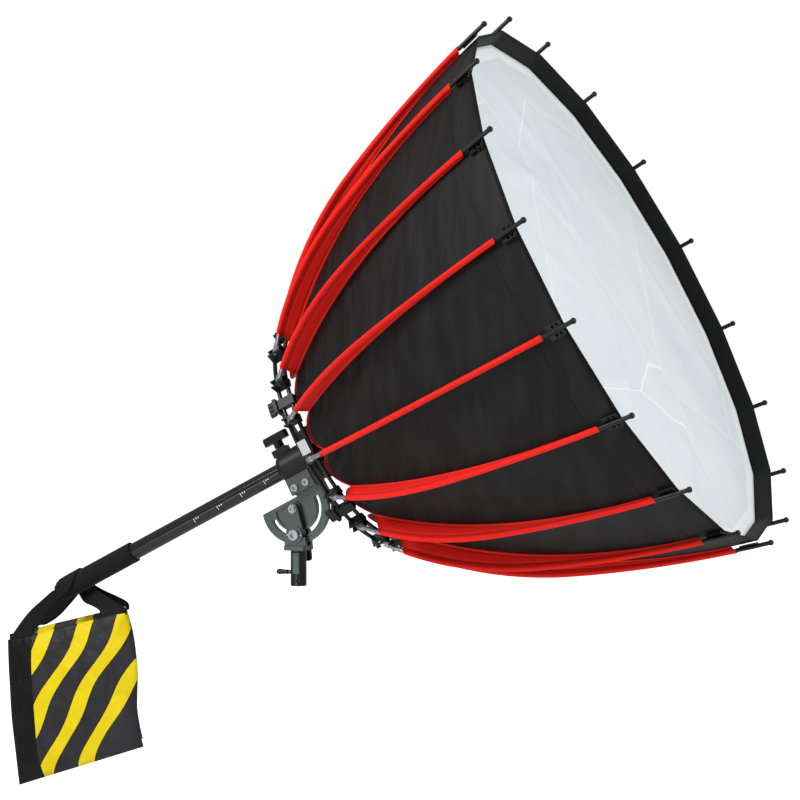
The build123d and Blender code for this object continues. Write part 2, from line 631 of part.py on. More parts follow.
with BuildPart() as lamp_clamp:
    with BuildSketch(HEAD.offset(TUBE_FRONT - CLAMP_LONG + 6)):
        RectangleRounded(2 * CLAMP_HALF, 44, 6)
        Circle(TUBE_RADIUS, mode=Mode.SUBTRACT)
    extrude(amount=CLAMP_LONG - 6)
    with BuildSketch(HEAD.offset(TUBE_FRONT)):
        RectangleRounded(2 * CLAMP_HALF, 44, 6)
    extrude(amount=12)
    with BuildSketch(Plane(origin=RING + AXIS * (TUBE_FRONT - 18), x_dir=AXIS, z_dir=ABOVE * -1)):
        Circle(4.0 + GAP)
    extrude(amount=60, mode=Mode.SUBTRACT)
save(lamp_clamp.part, "lamp_clamp")

with BuildPart() as lamp_spigot:
    with BuildSketch(HEAD.offset(TUBE_FRONT + 12)):
        Circle(12)
    extrude(amount=5)
    with BuildSketch(HEAD.offset(TUBE_FRONT + 17)):
        Circle(8)
    extrude(amount=44)
    chamfer(lamp_spigot.edges().filter_by(GeomType.CIRCLE).sort_by(Axis(RING, AXIS))[-1], 1.2)
save(lamp_spigot.part, "lamp_spigot")

CLAMP_SCREW_BASE = RING + AXIS * (TUBE_FRONT - 18)

with BuildPart() as lamp_clamp_screw:
    shank_base = CLAMP_SCREW_BASE - ABOVE * (TUBE_RADIUS + 0.3)
    with BuildSketch(Plane(origin=shank_base, x_dir=AXIS, z_dir=ABOVE * -1)):
        Circle(4.0)
    extrude(amount=20)
    with BuildSketch(Plane(origin=CLAMP_SCREW_BASE - ABOVE * 27, x_dir=AXIS, z_dir=ABOVE * -1)):
        Circle(9.0)
        with PolarLocations(9.0, 5):
            Circle(3.0)
    extrude(amount=14)
save(lamp_clamp_screw.part, "lamp_clamp_screw")

# ---- counterweight bag --------------------------------------------------------------------------
BAG_TOP_REAR, BAG_TOP_FRONT = (-511.0, -104.0), (-291.0, -49.0)
BAG_LOW_FRONT, BAG_LOW_REAR = (-260.0, -270.0), (-490.0, -346.0)
POUCH_IN, POUCH_OUT = 19.5, 60.0
FAR_SHIFT = -36.0
STRAP_THICK = 1.6

for name, side, shift in (("near_pouch", 1, 0.0), ("far_pouch", -1, FAR_SHIFT)):
    with BuildPart() as pouch:
        with BuildSketch(FRONT_SIDE.offset(side * POUCH_IN)):
            with Locations((shift, 0)):
                Polygon(BAG_TOP_REAR, BAG_TOP_FRONT, BAG_LOW_FRONT, BAG_LOW_REAR, align=None)
        extrude(amount=side * (POUCH_OUT - POUCH_IN))
        fillet(pouch.edges().filter_by(Axis.Y), 10)
        chamfer(pouch.faces().filter_by(Axis.Y).edges(), 9)
    save(pouch.part, name)

SADDLE_REAR, SADDLE_FRONT = -574.0, -528.0
SADDLE_RADIUS = GRIP_RADIUS + 0.3

with BuildPart() as hang_straps:
    with BuildSketch(HEAD.offset(SADDLE_REAR)):
        Circle(SADDLE_RADIUS + STRAP_THICK)
        Circle(SADDLE_RADIUS, mode=Mode.SUBTRACT)
        with Locations((-50, 0)):
            Rectangle(100, 100, mode=Mode.SUBTRACT)
    extrude(amount=SADDLE_FRONT - SADDLE_REAR)
    saddle_rear_at = RING + AXIS * SADDLE_REAR
    saddle_front_at = RING + AXIS * SADDLE_FRONT
    with BuildSketch(FRONT_SIDE.offset(SADDLE_RADIUS)):
        Polygon(
            (saddle_rear_at.X, saddle_rear_at.Z), (saddle_front_at.X, saddle_front_at.Z),
            (BAG_TOP_REAR[0] + 46, BAG_TOP_REAR[1] + 8), (BAG_TOP_REAR[0] + 6, BAG_TOP_REAR[1] - 4),
            align=None,
        )
    extrude(amount=STRAP_THICK)
    with BuildSketch(FRONT_SIDE.offset(-SADDLE_RADIUS)):
        Polygon(
            (saddle_rear_at.X, saddle_rear_at.Z), (saddle_front_at.X, saddle_front_at.Z),
            (BAG_TOP_FRONT[0] + FAR_SHIFT - 8, BAG_TOP_FRONT[1] + 0),
            (BAG_TOP_FRONT[0] + FAR_SHIFT - 46, BAG_TOP_FRONT[1] - 16),
            align=None,
        )
    extrude(amount=-STRAP_THICK)
save(hang_straps.part, "hang_straps")
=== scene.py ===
"""Looks of the studio softbox: shell, rib sleeves, diffuser, counterweight bag, materials and light."""

import json
import math

import bpy
from mathutils import Matrix, Vector, noise

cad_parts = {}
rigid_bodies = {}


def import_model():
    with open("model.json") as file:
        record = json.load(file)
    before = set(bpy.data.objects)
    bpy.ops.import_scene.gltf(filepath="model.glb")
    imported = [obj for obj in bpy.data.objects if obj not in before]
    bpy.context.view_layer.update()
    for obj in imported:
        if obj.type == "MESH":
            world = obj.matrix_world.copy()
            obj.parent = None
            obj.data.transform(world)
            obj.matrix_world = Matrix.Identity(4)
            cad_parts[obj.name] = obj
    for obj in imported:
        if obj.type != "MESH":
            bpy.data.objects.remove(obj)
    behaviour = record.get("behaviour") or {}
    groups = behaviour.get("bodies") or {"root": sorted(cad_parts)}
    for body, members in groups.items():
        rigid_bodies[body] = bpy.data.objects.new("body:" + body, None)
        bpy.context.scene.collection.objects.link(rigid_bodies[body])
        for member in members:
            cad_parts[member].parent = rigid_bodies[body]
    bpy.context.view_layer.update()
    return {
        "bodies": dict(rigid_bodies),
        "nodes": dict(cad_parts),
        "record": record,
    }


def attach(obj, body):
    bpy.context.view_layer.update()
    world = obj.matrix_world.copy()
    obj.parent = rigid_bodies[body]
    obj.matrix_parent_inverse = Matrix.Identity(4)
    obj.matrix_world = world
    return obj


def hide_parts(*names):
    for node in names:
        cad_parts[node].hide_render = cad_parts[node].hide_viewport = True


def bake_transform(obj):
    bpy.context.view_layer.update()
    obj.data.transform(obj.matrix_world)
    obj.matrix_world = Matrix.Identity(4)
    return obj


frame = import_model()

# ---- frame of the boom: lengths in millimetres ---------------------------------------------------
MM = 0.001
BOOM_RISE = math.radians(27.4)
AXIS = Vector((math.cos(BOOM_RISE), 0, math.sin(BOOM_RISE)))
ABOVE = Vector((-math.sin(BOOM_RISE), 0, math.cos(BOOM_RISE)))
NEAR = Vector((0, -1, 0))
RING = Vector((-4, 0, 125)) + 134 * AXIS + 65 * ABOVE

RIBS = 18
STEP = 360 / RIBS
BODIES = [f"rib_{number:02d}" for number in range(1, RIBS + 1)]
RIM_DEPTH, DIFFUSER_DEPTH = 526.0, 500.5
CAP_LONG = 56.0  # black plastic end of a rib


def at(out, depth, angle):
    """Point at a distance out from the boom axis, at a depth along it, at an angle from above."""
    turn = math.radians(angle)
    return RING + AXIS * depth + (ABOVE * math.cos(turn) + NEAR * math.sin(turn)) * out


def depth_of(point):
    """Depth of a point along the boom axis, from the plane of the ring."""
    return (point - RING).dot(AXIS)


class TwoArcs:
    """Profile of two tangent arcs in a radial plane, from its ends and its angles off the axis."""

    def __init__(self, start, end, angles):
        self.start = start
        self.angles = [math.radians(angle) for angle in angles]
        first, middle, last = self.angles
        a1 = math.cos(middle) - math.cos(first)
        b1 = math.sin(first) - math.sin(middle)
        a2 = math.cos(last) - math.cos(middle)
        b2 = math.sin(middle) - math.sin(last)
        out, along = end[0] - start[0], end[1] - start[1]
        det = a1 * b2 - a2 * b1
        self.rear = (out * b2 - a2 * along) / det
        self.front = (a1 * along - b1 * out) / det
        self.rear_long = self.rear * (first - middle)
        self.long = self.rear_long + self.front * (middle - last)

    def point(self, length):
        """(distance out, depth) at a length along the profile."""
        first, middle, _ = self.angles
        run = min(length, self.rear_long)
        angle = first - run / self.rear
        out = self.start[0] + self.rear * (math.cos(angle) - math.cos(first))
        depth = self.start[1] + self.rear * (math.sin(first) - math.sin(angle))
        if length > self.rear_long:
            angle = middle - (length - self.rear_long) / self.front
            out += self.front * (math.cos(angle) - math.cos(middle))
            depth += self.front * (math.sin(middle) - math.sin(angle))
        return out, depth

    def length_at(self, depth):
        """Length along the profile at a depth, found by halving."""
        low, high = 0.0, self.long
        for _ in range(40):
            middle = (low + high) / 2
            if self.point(middle)[1] < depth:
                low = middle
            else:
                high = middle
        return low


SHELL = TwoArcs((194.0, 33.0), (443.0, RIM_DEPTH), (42.0, 22.0, 12.0))
RIB = TwoArcs((198.0, 0.0), (455.0, 544.5), (47.0, 22.0, 12.5))
CAP_DEPTH = RIB.point(RIB.long - CAP_LONG)[1] - 0.5


# ---- materials -----------------------------------------------------------------------------------
class Shader:
    """A material whose nodes are added one by one."""

    def __init__(self, name, color, rough, metal=0.0):
        self.material = bpy.data.materials.new(name)
        self.material.use_nodes = True
        self.nodes = self.material.node_tree.nodes
        self.links = self.material.node_tree.links
        self.surface = self.nodes["Principled BSDF"]
        self.surface.inputs["Base Color"].default_value = (*color, 1)
        self.surface.inputs["Roughness"].default_value = rough
        self.surface.inputs["Metallic"].default_value = metal

    def add(self, kind, **settings):
        node = self.nodes.new(kind)
        for name, value in settings.items():
            setattr(node, name, value)
        return node

    def join(self, source, target):
        self.links.new(source, target)

    def math(self, operation, first, second):
        """Output of a math node; first and second are numbers or outputs."""
        node = self.add("ShaderNodeMath", operation=operation)
        for socket, value in zip(node.inputs, (first, second)):
            if isinstance(value, (int, float)):
                socket.default_value = value
            else:
                self.join(value, socket)
        return node.outputs[0]

    def mix(self, factor, first, second):
        """Output of a colour mix; first and second are colours or outputs."""
        node = self.add("ShaderNodeMix", data_type="RGBA")
        self.join(factor, node.inputs[0])
        for socket, value in zip((node.inputs[6], node.inputs[7]), (first, second)):
            if isinstance(value, tuple):
                socket.default_value = (*value, 1)
            else:
                self.join(value, socket)
        return node.outputs[2]

    def noise(self, scale, detail=2.0, stretch=(1, 1, 1)):
        """Output of a noise fixed to the piece's own axes."""
        place = self.add("ShaderNodeTexCoord")
        mapping = self.add("ShaderNodeMapping")
        mapping.inputs["Scale"].default_value = stretch
        self.join(place.outputs["Object"], mapping.inputs[0])
        texture = self.add("ShaderNodeTexNoise")
        texture.inputs["Scale"].default_value = scale
        texture.inputs["Detail"].default_value = detail
        self.join(mapping.outputs[0], texture.inputs["Vector"])
        return texture.outputs[0]

    def bump(self, height, strength, distance):
        node = self.add("ShaderNodeBump")
        node.inputs["Strength"].default_value = strength
        node.inputs["Distance"].default_value = distance
        self.join(height, node.inputs["Height"])
        self.join(node.outputs[0], self.surface.inputs["Normal"])

    def uv(self):
        """Outputs that give the two coordinates of the cloth's own map."""
        node = self.add("ShaderNodeUVMap")
        parts = self.add("ShaderNodeSeparateXYZ")
        self.join(node.outputs[0], parts.inputs[0])
        return parts.outputs[0], parts.outputs[1]


def metal(name, color, rough, metallic=1.0, grain=0.15):
    """Painted or bare metal with a fine grain."""
    made = Shader(name, color, rough, metallic)
    made.bump(made.noise(900, 3), grain, 0.0002)
    return made.material


def plastic(name, color, rough):
    """Moulded plastic with a fine grain."""
    made = Shader(name, color, rough)
    made.surface.inputs["Specular IOR Level"].default_value = 0.32
    made.bump(made.noise(1500, 2), 0.15, 0.0002)
    return made.material


def cloth(name, color, rough, wrinkle=0.0, sheen=0.3):
    """Woven cloth, with soft folds when wrinkle isn't 0."""
    made = Shader(name, color, rough)
    made.surface.inputs["Specular IOR Level"].default_value = 0.12
    made.surface.inputs["Sheen Weight"].default_value = sheen
    made.surface.inputs["Sheen Roughness"].default_value = 0.5
    weave = made.noise(1400, 2)
    if wrinkle:
        folds = made.noise(14, 3, (1.0, 0.45, 1.0))
        fine = made.math("MULTIPLY", weave, 0.06)
        coarse = made.math("MULTIPLY", folds, wrinkle)
        made.bump(made.math("ADD", fine, coarse), 1.0, 0.004)
    else:
        made.bump(weave, 0.35, 0.0004)
    return made.material


def shell_cloth():
    """Black woven shell: tension folds with painted shade along them, a faint seam behind the rim, a red
    binding at the rear edge.
    """
    made = Shader("shell_black", (0.0085, 0.0085, 0.009), 0.62)
    made.surface.inputs["Specular IOR Level"].default_value = 0.22
    across, along = made.uv()
    seam = made.math("LESS_THAN", made.math("ABSOLUTE", made.math("SUBTRACT", along, 0.905), 0), 0.0028)
    weave = made.noise(1600, 2)
    tension = made.add("ShaderNodeCombineXYZ")
    made.join(made.math("MULTIPLY", across, 24), tension.inputs[0])
    slant = made.math("MULTIPLY", across, 34)
    made.join(made.math("ADD", made.math("MULTIPLY", along, 17), slant), tension.inputs[1])
    pulls = made.add("ShaderNodeTexNoise")
    pulls.inputs["Scale"].default_value = 1.0
    made.join(tension.outputs[0], pulls.inputs["Vector"])
    rearward = made.math("ADD", made.math("POWER", made.math("SUBTRACT", 1.0, along), 1.6), 0.18)
    folds = made.math("MULTIPLY", pulls.outputs[0], rearward)
    # painted shade: the colour runs lighter and darker with the same noise that raises the folds
    fold_shade = made.math("MULTIPLY", made.math("SUBTRACT", pulls.outputs[0], 0.42), 3.2)
    shade = made.mix(made.math("MINIMUM", fold_shade, 1.0), (0.0038, 0.0038, 0.004), (0.0105, 0.0105, 0.011))
    colour = made.mix(seam, shade, (0.0015, 0.0015, 0.0015))
    binding = made.math("LESS_THAN", along, 0.0095)
    made.join(made.mix(binding, colour, (0.36, 0.006, 0.005)), made.surface.inputs["Base Color"])
    height = made.math("ADD", made.math("MULTIPLY", weave, 0.01), folds)
    made.bump(height, 0.8, 0.014)
    return made.material


def diffuser_cloth():
    """Thin white cloth, with creases that carry a painted highlight line along each ridge, and a paler
    doubled band at its edge.
    """
    made = Shader("diffuser_white", (0.62, 0.66, 0.68), 0.8)
    across, _ = made.uv()
    band = made.math("GREATER_THAN", across, 0.945)
    soft = made.noise(7, 4)
    tone = made.mix(soft, (0.56, 0.60, 0.625), (0.68, 0.715, 0.73))
    place = made.add("ShaderNodeTexCoord")
    cells = made.add("ShaderNodeTexVoronoi", feature="DISTANCE_TO_EDGE")
    cells.inputs["Scale"].default_value = 2.7
    made.join(place.outputs["Object"], cells.inputs["Vector"])
    crease = made.math("MINIMUM", cells.outputs["Distance"], 0.04)
    # painted highlight: a lighter line along the ridge of each crease
    line = made.math("LESS_THAN", cells.outputs["Distance"], 0.0028)
    tone = made.mix(made.math("MULTIPLY", line, 0.6), tone, (0.80, 0.83, 0.84))
    made.join(made.mix(band, tone, (0.72, 0.75, 0.765)), made.surface.inputs["Base Color"])
    made.bump(made.math("ADD", made.math("MULTIPLY", crease, 3.5), soft), 0.55, 0.012)
    return made.material


def striped_cloth():
    """Grey coated nylon with wavy yellow stripes that rise to the right, and black webbing at the left."""
    made = Shader("bag_stripes", (0.035, 0.035, 0.04), 0.5)
    made.surface.inputs["Specular IOR Level"].default_value = 0.2
    across, down = made.uv()
    wave = made.math("SINE", made.math("ADD", made.math("MULTIPLY", down, 12.5), 2.3), 0)
    lean = made.math("ADD", made.math("MULTIPLY", down, 0.99), made.math("MULTIPLY", wave, 0.034))
    phase = made.math("SUBTRACT", made.math("ADD", across, lean), 0.18)
    turn = made.math("FRACT", made.math("ADD", made.math("DIVIDE", phase, 0.42), 0.5), 0)
    off = made.math("ABSOLUTE", made.math("SUBTRACT", turn, 0.5), 0)
    printed = made.math("LESS_THAN", phase, 1.52)
    stripe = made.math("MULTIPLY", made.math("LESS_THAN", off, 0.205), printed)
    line = made.math("MULTIPLY", made.math("LESS_THAN", off, 0.232), printed)
    mottle = made.noise(30, 3)
    grey = made.mix(mottle, (0.012, 0.012, 0.015), (0.032, 0.032, 0.038))
    yellow = made.mix(mottle, (0.66, 0.50, 0.0), (0.84, 0.66, 0.002))
    colour = made.mix(stripe, made.mix(line, grey, (0.004, 0.004, 0.004)), yellow)
    webbing = made.math("LESS_THAN", across, 0.0)
    made.join(made.mix(webbing, colour, (0.002, 0.002, 0.002)), made.surface.inputs["Base Color"])
    creases = made.noise(16, 3)
    made.bump(creases, 0.9, 0.014)
    return made.material


LOOKS = {
    "bracket_grey": metal("bracket_grey", (0.092, 0.114, 0.107), 0.3, 0.8, 0.3),
    "screw_steel": metal("screw_steel", (0.42, 0.42, 0.43), 0.28),
    "hub_dark": plastic("hub_dark", (0.004, 0.004, 0.005), 0.42),
    "hoop_steel": metal("hoop_steel", (0.012, 0.012, 0.013), 0.2, 0.25),
    "splice_steel": metal("splice_steel", (0.45, 0.46, 0.47), 0.3),
    "bush_plastic": plastic("bush_plastic", (0.02, 0.02, 0.02), 0.5),
    "knob_black": plastic("knob_black", (0.005, 0.005, 0.005), 0.3),
    "rib_steel": metal("rib_steel", (0.50, 0.50, 0.52), 0.30),
    "tube_black": metal("tube_black", (0.005, 0.005, 0.006), 0.16, 0.0, 0.02),
    "grip_foam": cloth("grip_foam", (0.008, 0.008, 0.008), 0.85, 0.0, 0.1),
    "shell_black": shell_cloth(),
    "shell_lining": cloth("shell_lining", (0.62, 0.63, 0.64), 0.35, 0.5),
    "hem_black": cloth("hem_black", (0.005, 0.005, 0.0055), 0.7, 0.5, 0.05),
    "diffuser_white": diffuser_cloth(),
    "sleeve_red": cloth("sleeve_red", (0.84, 0.014, 0.007), 0.6, 0.2, 0.05),
    # painted shade: the flank is the same red cloth as the channel, painted a little darker
    "sleeve_flank_shaded": cloth("sleeve_flank_shaded", (0.78, 0.012, 0.006), 0.6, 0.3, 0.05),
    "sleeve_line": cloth("sleeve_line", (0.30, 0.006, 0.004), 0.7),
    "binding_red": cloth("binding_red", (0.36, 0.007, 0.005), 0.7),
    "sleeve_seam": cloth("sleeve_seam", (0.92, 0.03, 0.012), 0.5, 0.1, 0.05),
    "bag_grey": striped_cloth(),
    "strap_black": cloth("strap_black", (0.007, 0.007, 0.007), 0.75, 0.3, 0.05),
    "mark_white": plastic("mark_white", (0.7, 0.7, 0.7), 0.5),
}


def mesh(name, points, faces, looks, body, which=None, coordinates=None):
    """A piece from points in millimetres, riding on body if one is given.

    which gives each face's place in looks, and coordinates each point's place on the cloth.
    """
    data = bpy.data.meshes.new(name)
    data.from_pydata([point * MM for point in points], [], faces)
    for look in looks:
        data.materials.append(LOOKS[look])
    if which:
        data.polygons.foreach_set("material_index", which)
    if coordinates:
        layer = data.uv_layers.new(name="UVMap")
        for loop in data.loops:
            layer.data[loop.index].uv = coordinates[loop.vertex_index]
    data.polygons.foreach_set("use_smooth", [True] * len(data.polygons))
    data.update()
    piece = bpy.data.objects.new(name, data)
    bpy.context.scene.collection.objects.link(piece)
    if body:
        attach(piece, body)
    return piece


def thicken(piece, thickness, inner=0, offset=-1.0):
    """Gives cloth its thickness in millimetres; inner is the place in looks of its inner face."""
    solid = piece.modifiers.new("cloth", "SOLIDIFY")
    solid.thickness = thickness * MM
    solid.offset = offset
    solid.material_offset = inner


def grid_faces(rows, columns, closed=False):
    """Quads of a grid whose points run row by row."""
    faces = []
    for row in range(rows - 1):
        for column in range(columns if closed else columns - 1):
            beside = (column + 1) % columns
            faces.append((
                row * columns + column, row * columns + beside,
                (row + 1) * columns + beside, (row + 1) * columns + column,
            ))
    return faces


# ---- rig that carries the cloth with the ribs ----------------------------------------------------
def make_rig():
    """A rig with one bone for the hub and one for each rib, each following its body."""
    data = bpy.data.armatures.new("cloth_rig")
    rig = bpy.data.objects.new("cloth_rig", data)
    bpy.context.scene.collection.objects.link(rig)
    bpy.context.view_layer.objects.active = rig
    bpy.ops.object.mode_set(mode="EDIT")
    for body in ["head", *BODIES]:
        bone = data.edit_bones.new(body)
        bone.head = (0, 0, 0)
        bone.tail = (0, 0.1, 0)
    bpy.ops.object.mode_set(mode="OBJECT")
    rig.parent = frame["bodies"]["head"]
    for body in ["head", *BODIES]:
        follow = rig.pose.bones[body].constraints.new("COPY_TRANSFORMS")
        follow.target = frame["bodies"][body]
    rig.hide_render = True
    return rig


RIG = make_rig()


def carry(piece, pulls):
    """The cloth's points follow the bodies in pulls: for each point, a dict of body to weight."""
    groups = {body: piece.vertex_groups.new(name=body) for body in ["head", *BODIES]}
    for index, pull in enumerate(pulls):
        for body, weight in pull.items():
            if weight > 0:
                groups[body].add([index], weight, "REPLACE")
    deform = piece.modifiers.new("fold", "ARMATURE")
    deform.object = RIG


def between(angle, share=1.0):
    """Weights of the two ribs beside an angle, and the head for the rest of the share."""
    place = (angle / STEP) % RIBS
    first = int(place)
    part = place - first
    pull = {BODIES[first]: share * (1 - part)}
    if part > 0:
        pull[BODIES[(first + 1) % RIBS]] = share * part
    if share < 1:
        pull["head"] = 1 - share
    return pull


def on_chord(out, depth, angle):
    """Point on the straight cloth edge between two ribs, at an angle; out is the distance at a rib."""
    first = math.floor(angle / STEP) * STEP
    part = (angle - first) / STEP
    return at(out, depth, first) * (1 - part) + at(out, depth, first + STEP) * part


# ---- shell ---------------------------------------------------------------------------------------
ACROSS = 10  # points across a panel
ANGLES = [column * STEP / ACROSS for column in range(RIBS * ACROSS)]
SHELL_ROWS = 56
REAR_NOTCH, REAR_LOBE = 4.0, 36.0  # rear edge: cut forward at a rib, reaching back between two ribs
PANEL_HOLLOW, PANEL_RIPPLE = 3.5, 4.0  # how far a panel is pulled in between two ribs


def panel_share(angle):
    """0 at a rib and 1 midway between two ribs."""
    part = (angle / STEP) % 1
    return 4 * part * (1 - part)


def rear_reach(angle):
    """How far the shell's rear edge reaches back at an angle."""
    return (REAR_NOTCH + REAR_LOBE) * panel_share(angle) ** 0.75 - REAR_NOTCH


def build_shell():
    """All panels of the shell: drawn in between two ribs, with lobes at the rear edge."""
    points, pulls, coordinates = [], [], []
    for row in range(SHELL_ROWS):
        share = row / (SHELL_ROWS - 1)
        for angle in ANGLES:
            out, depth = SHELL.point(SHELL.long * share - rear_reach(angle) * (1 - share) ** 8)
            place = on_chord(out, depth, angle)
            hollow = panel_share(angle) * math.sin(math.pi * min(1.0, share / 0.93)) ** 0.7
            ripple = noise.noise(Vector((angle * 0.16 + share * 2.2, share * 7.0 - angle * 0.05, 3.1)))
            inward = at(0, depth, 0) - place
            inward.normalize()
            points.append(place + inward * hollow * (PANEL_HOLLOW + PANEL_RIPPLE * ripple))
            pulls.append(between(angle))
            coordinates.append((angle / 360, share))
    faces = grid_faces(SHELL_ROWS, len(ANGLES), True)
    looks = ["shell_black", "shell_lining"]
    piece = mesh("shell", points, faces, looks, "head", None, coordinates)
    carry(piece, pulls)
    thicken(piece, 1.2, 1)
    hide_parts("canopy")
    return piece


def build_band(name, rows, looks, thickness, bulge=0.0):
    """A strip all round that follows the ribs; rows are (distance out at a rib, depth)."""
    points, pulls = [], []
    for out, depth in rows:
        for angle in ANGLES:
            points.append(on_chord(out - bulge * panel_share(angle), depth, angle))
            pulls.append(between(angle))
    piece = mesh(name, points, grid_faces(len(rows), len(ANGLES), True), looks, "head")
    carry(piece, pulls)
    thicken(piece, thickness, offset=0.0)
    return piece


def build_bead(name, edge, radius, looks, sides=8):
    """A rolled edge all round the cloth; edge gives (distance out, depth) at an angle."""
    points, pulls = [], []
    for angle in ANGLES:
        centre = on_chord(*edge(angle), angle)
        outward = centre - at(0, depth_of(centre), 0)
        outward.normalize()
        for side in range(sides):
            turn = math.tau * side / sides
            points.append(centre + (outward * math.cos(turn) + AXIS * math.sin(turn)) * radius)
            pulls.append(between(angle))
    faces = []
    total = len(ANGLES)
    for column in range(total):
        for side in range(sides):
            beside, ahead = (side + 1) % sides, (column + 1) % total
            faces.append((column * sides + side, column * sides + beside,
                          ahead * sides + beside, ahead * sides + side))
    piece = mesh(name, points, faces, looks, "head")
    carry(piece, pulls)
    return piece


shell = build_shell()
RIM_SLOPE = math.tan(SHELL.angles[-1])
HEM_OUT, HEM_LONG, HEM_HOLLOW = 441.6, 27.0, 1.0


def hem_out(depth):
    """Distance out of the front lip at a depth, slightly hollow."""
    back = RIM_DEPTH - depth
    return HEM_OUT - back * RIM_SLOPE - HEM_HOLLOW * math.sin(back / HEM_LONG * math.pi)


hem_rows = [(hem_out(depth), depth) for depth in (526.0, 523.0, 519.0, 514.0, 509.0, 504.0, 499.0)]
hem = build_band("front_lip", hem_rows, ["hem_black"], 1.0)
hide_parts("front_hem")
rim_bead = build_bead("rim_piping", lambda angle: (442.6, 526.6), 1.3, ["hem_black"])
rear_bead = build_bead(
    "rear_binding", lambda angle: SHELL.point(-rear_reach(angle)), 1.9, ["binding_red"]
)


# ---- diffuser ------------------------------------------------------------------------------------
# soft fold lines in the cloth: angle and distance out of both ends, and height
CREASES = (
    (62, 400, 20, 190, 5.5), (76, 415, 95, 120, 4.0), (20, 405, 330, 160, 4.5),
    (115, 400, 150, 180, 4.5),
    (300, 400, 260, 150, 4.0), (355, 410, 40, 90, 4.0), (160, 400, 200, 200, 4.5),
    (240, 405, 285, 260, 4.0), (48, 405, 350, 60, 4.0), (95, 400, 60, 150, 3.5),
    (135, 405, 100, 60, 4.0),
)
STEEP_SPREAD, GENTLE_SPREAD = 7.0, 30.0  # width of a fold line's two sides


def crease_height(place, from_angle, from_out, to_angle, to_out, height):
    """Height of one fold line at a place: steep on one side, gentle on the other, fading at its ends."""
    start, end = at(from_out, DIFFUSER_DEPTH, from_angle), at(to_out, DIFFUSER_DEPTH, to_angle)
    line = end - start
    along = (place - start).dot(line) / line.length_squared
    if not 0 < along < 1:
        return 0.0
    off = (place - start - line * along).dot(line.cross(AXIS).normalized())
    spread = STEEP_SPREAD if off > 0 else GENTLE_SPREAD
    return height * math.exp(-((off / spread) ** 2)) * math.sin(math.pi * along)


def build_diffuser():
    """The white front cloth inside the lip, with a light ripple and fold lines."""
    rings = 60
    edge_out = HEM_OUT - (RIM_DEPTH - DIFFUSER_DEPTH) * RIM_SLOPE - 1.4
    points, pulls, coordinates = [at(0, DIFFUSER_DEPTH - 1.0, 0)], [{"head": 1.0}], [(0.0, 0.0)]
    for ring in range(1, rings + 1):
        share = ring / rings
        for angle in ANGLES:
            place = on_chord(edge_out * share, DIFFUSER_DEPTH, angle)
            ripple = noise.noise(place * 0.011) * 2.2 + noise.noise(place * 0.03) * 0.6
            ripple += sum(crease_height(place, *line) for line in CREASES)
            corner = math.cos(math.radians(angle * RIBS)) * share ** 6 * 0.9
            points.append(place + AXIS * ((ripple + corner) * (1 - share ** 8) - 0.6))
            pulls.append(between(angle, share))
            coordinates.append((share, angle / 360))
    total = len(ANGLES)
    faces = [(0, 1 + column, 1 + (column + 1) % total) for column in range(total)]
    for face in grid_faces(rings, total, True):
        faces.append(tuple(reversed([index + 1 for index in face])))
    looks = ["diffuser_white"]
    piece = mesh("diffuser_cloth", points, faces, looks, "head", None, coordinates)
    carry(piece, pulls)
    thicken(piece, 0.5)
    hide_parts("diffuser")


build_diffuser()


# ---- rib sleeves ---------------------------------------------------------------------------------
SLEEVE_STATIONS = 34
CHANNEL = 4.7  # outer radius of the channel around the rod
SLEEVE_START = 42.0  # length along the rib where a sleeve starts, apart from those listed here
SLEEVE_FROM = {2: 36.0, 3: 35.0, 4: 36.0, 5: 48.0, 7: 51.0, 8: 45.0}


def sleeve_section(width, fold):
    """(distance from the rod's centre to the shell, half thickness), from outer edge to seam."""
    neck = min(CHANNEL + min(3.0, 0.1 * width), 0.6 * width)
    seam = width - min(5.0, 0.22 * width)
    web = seam - neck
    return [
        (-CHANNEL - 0.9, 0.5), (-CHANNEL, 1.5), (-CHANNEL * 0.7, CHANNEL * 0.7), (0, CHANNEL),
        (CHANNEL * 0.62, CHANNEL * 0.7), (neck - 0.7, 1.5), (neck, 0.9), (neck + 0.9, 1.4),
        (neck + web * 0.3, 1.4 + 1.6 * fold), (neck + web * (0.5 + 0.1 * fold), 1.9 - 1.2 * fold),
        (neck + web * 0.75, 1.6 + 1.3 * fold), (seam - 1.0, 1.5), (seam, 0.9), (seam + 0.6, 1.7),
        (width, 1.5),
    ]


# one look for each strip between two points of the section; the flank's strips take the red cloth painted
# darker as shade
SLEEVE_LOOKS = ["sleeve_red", "sleeve_line", "sleeve_flank_shaded", "sleeve_seam"]
STRIP_LOOKS = [0, 0, 0, 0, 0, 1, 1, 2, 2, 2, 2, 2, 3, 3]


